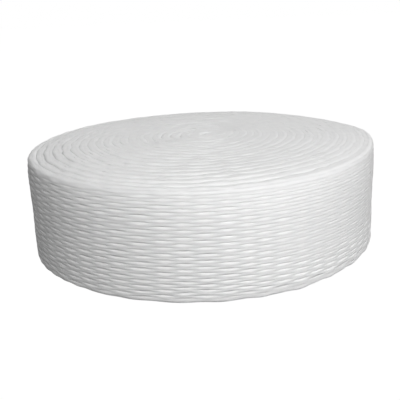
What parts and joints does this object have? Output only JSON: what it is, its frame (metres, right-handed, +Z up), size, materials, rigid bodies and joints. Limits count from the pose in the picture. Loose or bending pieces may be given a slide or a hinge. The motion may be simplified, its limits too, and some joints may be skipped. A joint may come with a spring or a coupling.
{
  "type": "tree guard net roll",
  "caption": "Coreless roll of flattened white foam net sleeve; lengths are cut off and slipped over young tree trunks to guard the bark.",
  "frame": {"origin": "centre of the flat underside, on the roll's winding axis", "axes": "+Z up along the winding axis; the free end of the sleeve lies 40 degrees from +X towards +Y"},
  "size_m": [0.3683, 0.3727, 0.106],
  "materials": {
    "net_foam": "soft white slightly translucent expanded polyethylene"
  },
  "bodies": {
    "coil": {"turn_19": "net_foam", "turn_18": "net_foam"},
    "slip_17": {"turn_17": "net_foam"},
    "slip_16": {"turn_16": "net_foam"},
    "slip_15": {"turn_15": "net_foam"},
    "slip_14": {"turn_14": "net_foam"},
    "slip_13": {"turn_13": "net_foam"},
    "slip_12": {"turn_12": "net_foam"},
    "slip_11": {"turn_11": "net_foam"},
    "slip_10": {"turn_10": "net_foam"},
    "slip_09": {"turn_09": "net_foam"},
    "slip_08": {"turn_08": "net_foam"},
    "slip_07": {"turn_07": "net_foam"},
    "slip_06": {"turn_06": "net_foam"},
    "slip_05": {"turn_05": "net_foam"},
    "slip_04": {"turn_04": "net_foam"},
    "slip_03": {"turn_03": "net_foam"},
    "slip_02": {"turn_02": "net_foam"},
    "slip_01": {"turn_01": "net_foam", "start_fold": "net_foam"},
    "peel_1": {"tail_1": "net_foam"},
    "peel_2": {"tail_2": "net_foam"},
    "peel_3": {"tail_3": "net_foam"},
    "peel_4": {"tail_4": "net_foam"},
    "peel_5": {"tail_5": "net_foam"},
    "peel_6": {"tail_6": "net_foam"}
  },
  "joints": [
    {"name": "turn_17_slide", "type": "slide", "parent": "coil", "child": "slip_17", "axis": [0, 0, 1], "range_m": [0, 0.003]},
    {"name": "turn_16_slide", "type": "slide", "parent": "slip_17", "child": "slip_16", "axis": [0, 0, 1], "range_m": [0, 0.003]},
    {"name": "turn_15_slide", "type": "slide", "parent": "slip_16", "child": "slip_15", "axis": [0, 0, 1], "range_m": [0, 0.003]},
    {"name": "turn_14_slide", "type": "slide", "parent": "slip_15", "child": "slip_14", "axis": [0, 0, 1], "range_m": [0, 0.003]},
    {"name": "turn_13_slide", "type": "slide", "parent": "slip_14", "child": "slip_13", "axis": [0, 0, 1], "range_m": [0, 0.003]},
    {"name": "turn_12_slide", "type": "slide", "parent": "slip_13", "child": "slip_12", "axis": [0, 0, 1], "range_m": [0, 0.003]},
    {"name": "turn_11_slide", "type": "slide", "parent": "slip_12", "child": "slip_11", "axis": [0, 0, 1], "range_m": [0, 0.003]},
    {"name": "turn_10_slide", "type": "slide", "parent": "slip_11", "child": "slip_10", "axis": [0, 0, 1], "range_m": [0, 0.003]},
    {"name": "turn_09_slide", "type": "slide", "parent": "slip_10", "child": "slip_09", "axis": [0, 0, 1], "range_m": [0, 0.003]},
    {"name": "turn_08_slide", "type": "slide", "parent": "slip_09", "child": "slip_08", "axis": [0, 0, 1], "range_m": [0, 0.003]},
    {"name": "turn_07_slide", "type": "slide", "parent": "slip_08", "child": "slip_07", "axis": [0, 0, 1], "range_m": [0, 0.003]},
    {"name": "turn_06_slide", "type": "slide", "parent": "slip_07", "child": "slip_06", "axis": [0, 0, 1], "range_m": [0, 0.003]},
    {"name": "turn_05_slide", "type": "slide", "parent": "slip_06", "child": "slip_05", "axis": [0, 0, 1], "range_m": [0, 0.003]},
    {"name": "turn_04_slide", "type": "slide", "parent": "slip_05", "child": "slip_04", "axis": [0, 0, 1], "range_m": [0, 0.003]},
    {"name": "turn_03_slide", "type": "slide", "parent": "slip_04", "child": "slip_03", "axis": [0, 0, 1], "range_m": [0, 0.003]},
    {"name": "turn_02_slide", "type": "slide", "parent": "slip_03", "child": "slip_02", "axis": [0, 0, 1], "range_m": [0, 0.003]},
    {"name": "turn_01_slide", "type": "slide", "parent": "slip_02", "child": "slip_01", "axis": [0, 0, 1], "range_m": [0, 0.003]},
    {"name": "tail_1_hinge", "type": "hinge", "parent": "coil", "child": "peel_1", "pos_m": [-0.17558, 0.06391, 0], "axis": [0, 0, 1], "range_deg": [0, 20]},
    {"name": "tail_2_hinge", "type": "hinge", "parent": "peel_1", "child": "peel_2", "pos_m": [-0.14352, 0.12043, 0], "axis": [0, 0, 1], "range_deg": [0, 20]},
    {"name": "tail_3_hinge", "type": "hinge", "parent": "peel_2", "child": "peel_3", "pos_m": [-0.09392, 0.16268, 0], "axis": [0, 0, 1], "range_deg": [0, 20]},
    {"name": "tail_4_hinge", "type": "hinge", "parent": "peel_3", "child": "peel_4", "pos_m": [-0.03271, 0.18549, 0], "axis": [0, 0, 1], "range_deg": [0, 20]},
    {"name": "tail_5_hinge", "type": "hinge", "parent": "peel_4", "child": "peel_5", "pos_m": [0.03279, 0.18598, 0], "axis": [0, 0, 1], "range_deg": [0, 20]},
    {"name": "tail_6_hinge", "type": "hinge", "parent": "peel_5", "child": "peel_6", "pos_m": [0.09467, 0.16398, 0], "axis": [0, 0, 1], "range_deg": [0, 20]}
  ],
  "couplings": [
    {"joint": "turn_16_slide", "follows": "turn_17_slide", "ratio": 1},
    {"joint": "turn_15_slide", "follows": "turn_17_slide", "ratio": 1},
    {"joint": "turn_14_slide", "follows": "turn_17_slide", "ratio": 1},
    {"joint": "turn_13_slide", "follows": "turn_17_slide", "ratio": 1},
    {"joint": "turn_12_slide", "follows": "turn_17_slide", "ratio": 1},
    {"joint": "turn_11_slide", "follows": "turn_17_slide", "ratio": 1},
    {"joint": "turn_10_slide", "follows": "turn_17_slide", "ratio": 1},
    {"joint": "turn_09_slide", "follows": "turn_17_slide", "ratio": 1},
    {"joint": "turn_08_slide", "follows": "turn_17_slide", "ratio": 1},
    {"joint": "turn_07_slide", "follows": "turn_17_slide", "ratio": 1},
    {"joint": "turn_06_slide", "follows": "turn_17_slide", "ratio": 1},
    {"joint": "turn_05_slide", "follows": "turn_17_slide", "ratio": 1},
    {"joint": "turn_04_slide", "follows": "turn_17_slide", "ratio": 1},
    {"joint": "turn_03_slide", "follows": "turn_17_slide", "ratio": 1},
    {"joint": "turn_02_slide", "follows": "turn_17_slide", "ratio": 1},
    {"joint": "turn_01_slide", "follows": "turn_17_slide", "ratio": 1},
    {"joint": "tail_2_hinge", "follows": "tail_1_hinge", "ratio": 1},
    {"joint": "tail_3_hinge", "follows": "tail_1_hinge", "ratio": 1},
    {"joint": "tail_4_hinge", "follows": "tail_1_hinge", "ratio": 1},
    {"joint": "tail_5_hinge", "follows": "tail_1_hinge", "ratio": 1},
    {"joint": "tail_6_hinge", "follows": "tail_1_hinge", "ratio": 1}
  ]
}
